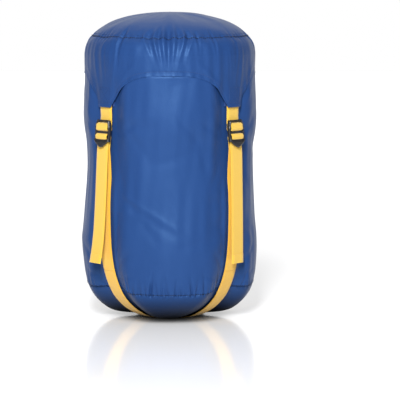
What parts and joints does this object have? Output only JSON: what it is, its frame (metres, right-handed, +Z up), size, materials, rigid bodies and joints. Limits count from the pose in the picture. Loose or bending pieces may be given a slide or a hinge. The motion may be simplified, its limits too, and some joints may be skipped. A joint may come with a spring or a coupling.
{
  "type": "compression sack",
  "caption": "Round nylon compression sack, packed full, with a strapped lid, webbing straps that cross under its bottom, and ladder locks to tighten them.",
  "frame": {"origin": "middle of the footprint, on the surface that the sack stands on", "axes": "+Z up along the sack to its lid; front is -Y, half way between two straps"},
  "size_m": [0.201, 0.201, 0.357],
  "materials": {
    "nylon": "satin",
    "webbing": "matte",
    "buckle_plastic": "satin",
    "cord": "matte",
    "steel": "satin",
    "load": "matte"
  },
  "bodies": {
    "sack": {"bottom_panel": "nylon", "bottom_seam_tape": "nylon", "sack_tube": "nylon", "packed_load": "load", "bottom_strap_a": "webbing", "bottom_strap_b": "webbing", "strap_run_front_right": "webbing", "strap_run_back_right": "webbing", "strap_run_back_left": "webbing", "strap_run_front_left": "webbing"},
    "mouth": {"mouth_gather": "nylon", "drawcord_channel": "nylon", "drawcord_eyelet": "steel", "drawcord": "cord", "drawcord_knot": "cord"},
    "cord_lock": {"cord_lock_body": "buckle_plastic", "cord_lock_spring": "steel"},
    "cord_button": {"cord_lock_button": "buckle_plastic"},
    "lid": {"lid_top": "nylon", "lid_skirt": "nylon", "lid_seam_tape": "nylon", "lid_hem_tape": "nylon", "tab_strap_front_right": "webbing", "tab_strap_back_right": "webbing", "tab_strap_back_left": "webbing", "tab_strap_front_left": "webbing", "tab_patch_front_right": "nylon", "tab_patch_back_right": "nylon", "tab_patch_back_left": "nylon", "tab_patch_front_left": "nylon"},
    "buckle_front_right": {"ladder_lock_front_right": "buckle_plastic", "tab_wrap_front_right": "webbing", "strap_loop_front_right": "webbing"},
    "tail_front_right": {"strap_tail_front_right": "webbing"},
    "tail_end_front_right": {"strap_hem_front_right": "webbing"},
    "buckle_back_right": {"ladder_lock_back_right": "buckle_plastic", "tab_wrap_back_right": "webbing", "strap_loop_back_right": "webbing"},
    "tail_back_right": {"strap_tail_back_right": "webbing"},
    "tail_end_back_right": {"strap_hem_back_right": "webbing"},
    "buckle_back_left": {"ladder_lock_back_left": "buckle_plastic", "tab_wrap_back_left": "webbing", "strap_loop_back_left": "webbing"},
    "tail_back_left": {"strap_tail_back_left": "webbing"},
    "tail_end_back_left": {"strap_hem_back_left": "webbing"},
    "buckle_front_left": {"ladder_lock_front_left": "buckle_plastic", "tab_wrap_front_left": "webbing", "strap_loop_front_left": "webbing"},
    "tail_front_left": {"strap_tail_front_left": "webbing"},
    "tail_end_front_left": {"strap_hem_front_left": "webbing"}
  },
  "joints": [
    {"name": "lid_travel", "type": "slide", "parent": "sack", "child": "lid", "axis": [0, 0, 1], "range_m": [0, 0.11], "deforming": ["strap_run_front_right", "strap_run_back_right", "strap_run_back_left", "strap_run_front_left"]},
    {"name": "mouth_rise", "type": "slide", "parent": "sack", "child": "mouth", "axis": [0, 0, 1], "range_m": [0, 0.1045], "deforming": ["sack_tube"]},
    {"name": "cord_lock_slide", "type": "slide", "parent": "mouth", "child": "cord_lock", "axis": [0, -0.9903, -0.1386], "range_m": [0, 0.018]},
    {"name": "cord_button_press", "type": "slide", "parent": "cord_lock", "child": "cord_button", "axis": [-1, 0, 0], "range_m": [0, 0.0034], "stiffness_N_per_m": 300, "springref_m": -0.003, "deforming": ["cord_lock_spring"]},
    {"name": "buckle_tilt_front_right", "type": "hinge", "parent": "lid", "child": "buckle_front_right", "pos_m": [0.07238, -0.06292, 0.2355], "axis": [-0.6561, -0.7547, 0], "range_deg": [0, 45]},
    {"name": "tail_swing_front_right", "type": "hinge", "parent": "buckle_front_right", "child": "tail_front_right", "pos_m": [0.07645, -0.06646, 0.20228], "axis": [-0.6561, -0.7547, 0], "range_deg": [0, 75]},
    {"name": "tail_feed_front_right", "type": "slide", "parent": "tail_front_right", "child": "tail_end_front_right", "axis": [-0.0579, 0.0503, 0.9971], "range_m": [0, 0.11], "deforming": ["strap_tail_front_right"]},
    {"name": "buckle_tilt_back_right", "type": "hinge", "parent": "lid", "child": "buckle_back_right", "pos_m": [0.07238, 0.06292, 0.2355], "axis": [0.6561, -0.7547, 0], "range_deg": [0, 45]},
    {"name": "tail_swing_back_right", "type": "hinge", "parent": "buckle_back_right", "child": "tail_back_right", "pos_m": [0.07645, 0.06646, 0.20228], "axis": [0.6561, -0.7547, 0], "range_deg": [0, 75]},
    {"name": "tail_feed_back_right", "type": "slide", "parent": "tail_back_right", "child": "tail_end_back_right", "axis": [-0.0579, -0.0503, 0.9971], "range_m": [0, 0.11], "deforming": ["strap_tail_back_right"]},
    {"name": "buckle_tilt_back_left", "type": "hinge", "parent": "lid", "child": "buckle_back_left", "pos_m": [-0.07238, 0.06292, 0.2355], "axis": [0.6561, 0.7547, 0], "range_deg": [0, 45]},
    {"name": "tail_swing_back_left", "type": "hinge", "parent": "buckle_back_left", "child": "tail_back_left", "pos_m": [-0.07645, 0.06646, 0.20228], "axis": [0.6561, 0.7547, 0], "range_deg": [0, 75]},
    {"name": "tail_feed_back_left", "type": "slide", "parent": "tail_back_left", "child": "tail_end_back_left", "axis": [0.0579, -0.0503, 0.9971], "range_m": [0, 0.11], "deforming": ["strap_tail_back_left"]},
    {"name": "buckle_tilt_front_left", "type": "hinge", "parent": "lid", "child": "buckle_front_left", "pos_m": [-0.07238, -0.06292, 0.2355], "axis": [-0.6561, 0.7547, 0], "range_deg": [0, 45]},
    {"name": "tail_swing_front_left", "type": "hinge", "parent": "buckle_front_left", "child": "tail_front_left", "pos_m": [-0.07645, -0.06646, 0.20228], "axis": [-0.6561, 0.7547, 0], "range_deg": [0, 75]},
    {"name": "tail_feed_front_left", "type": "slide", "parent": "tail_front_left", "child": "tail_end_front_left", "axis": [0.0579, 0.0503, 0.9971], "range_m": [0, 0.11], "deforming": ["strap_tail_front_left"]}
  ],
  "couplings": [
    {"joint": "mouth_rise", "follows": "lid_travel", "ratio": 0.95},
    {"joint": "tail_feed_front_right", "follows": "lid_travel", "ratio": 1},
    {"joint": "tail_feed_back_right", "follows": "lid_travel", "ratio": 1},
    {"joint": "tail_feed_back_left", "follows": "lid_travel", "ratio": 1},
    {"joint": "tail_feed_front_left", "follows": "lid_travel", "ratio": 1}
  ]
}
